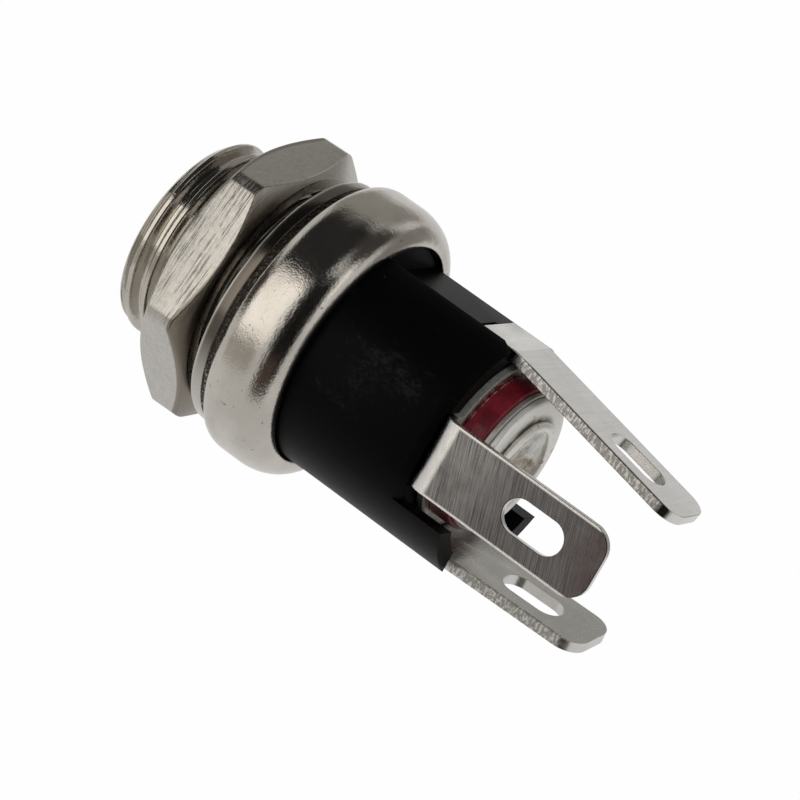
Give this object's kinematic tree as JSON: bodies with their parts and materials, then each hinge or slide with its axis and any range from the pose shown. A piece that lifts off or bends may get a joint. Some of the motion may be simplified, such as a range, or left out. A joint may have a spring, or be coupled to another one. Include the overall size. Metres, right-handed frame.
{
  "type": "dc barrel jack",
  "caption": "Panel-mount barrel power jack: threaded nose with hex nut and washer, rolled metal collar over a black insulator, riveted centre pin and slotted solder lugs.",
  "frame": {"origin": "centre of the nose's front face", "axes": "+Z along the socket axis from the plug opening to the solder lugs; -Y toward the centre pin's lug; +X toward the switch lug"},
  "size_m": [0.0154, 0.0154, 0.0304],
  "materials": {
    "nickel_plate": "polished nickel plate",
    "nickel_nut": "brushed nickel plate",
    "nickel_washer": "stamped nickel plate",
    "black_moulding": "satin moulding",
    "pin_plate": "satin plate",
    "tinned_lug": "brushed tin plate",
    "red_fibre": "glossy fibre",
    "dark_ring": "dull steel",
    "silver_disc": "satin tin plate"
  },
  "bodies": {
    "root": {"threaded_housing": "nickel_plate", "hex_nut": "nickel_nut", "flat_washer": "nickel_washer", "insulator_body": "black_moulding", "centre_pin": "pin_plate", "pin_terminal": "tinned_lug", "fibre_washer": "red_fibre", "backing_ring": "dark_ring", "rivet_disc": "silver_disc", "sleeve_terminal": "tinned_lug", "switch_terminal": "tinned_lug"}
  },
  "joints": []
}
